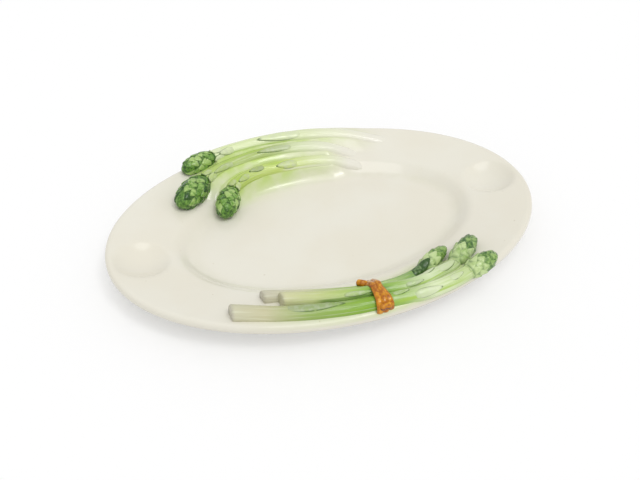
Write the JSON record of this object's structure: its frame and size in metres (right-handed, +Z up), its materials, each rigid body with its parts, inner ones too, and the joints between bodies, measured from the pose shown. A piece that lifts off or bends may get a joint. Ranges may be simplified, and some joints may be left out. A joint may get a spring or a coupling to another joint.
{
  "type": "asparagus platter",
  "caption": "Oval glazed platter with a sunken serving well, a sauce dip in each end of its rim, and modelled asparagus spears laid on the rear rim and tied in a bundle on the front rim.",
  "frame": {"origin": "on the table, under the middle of the oval dish", "axes": "+X along the dish, +Y towards the rim with the untied spears, +Z up"},
  "size_m": [0.38, 0.2616, 0.0407],
  "materials": {
    "cream_glaze": "gloss",
    "bare_clay": "matte",
    "stalk_glaze": "gloss",
    "head_glaze": "gloss",
    "bract_glaze": "gloss",
    "tie_glaze": "gloss"
  },
  "bodies": {
    "root": {"platter_body": "cream_glaze", "foot_ring": "bare_clay", "rear_outer_stalk": "stalk_glaze", "rear_outer_head": "head_glaze", "rear_outer_bracts": "bract_glaze", "rear_middle_stalk": "stalk_glaze", "rear_middle_head": "head_glaze", "rear_middle_bracts": "bract_glaze", "rear_inner_stalk": "stalk_glaze", "rear_inner_head": "head_glaze", "rear_inner_bracts": "bract_glaze", "front_outer_stalk": "stalk_glaze", "front_outer_head": "head_glaze", "front_outer_bracts": "bract_glaze", "front_inner_stalk": "stalk_glaze", "front_inner_head": "head_glaze", "front_inner_bracts": "bract_glaze", "front_middle_stalk": "stalk_glaze", "front_middle_head": "head_glaze", "front_middle_bracts": "bract_glaze", "tie_under_strand": "tie_glaze", "tie_over_strand": "tie_glaze", "tie_tail": "tie_glaze", "tie_knot": "tie_glaze"}
  },
  "joints": []
}
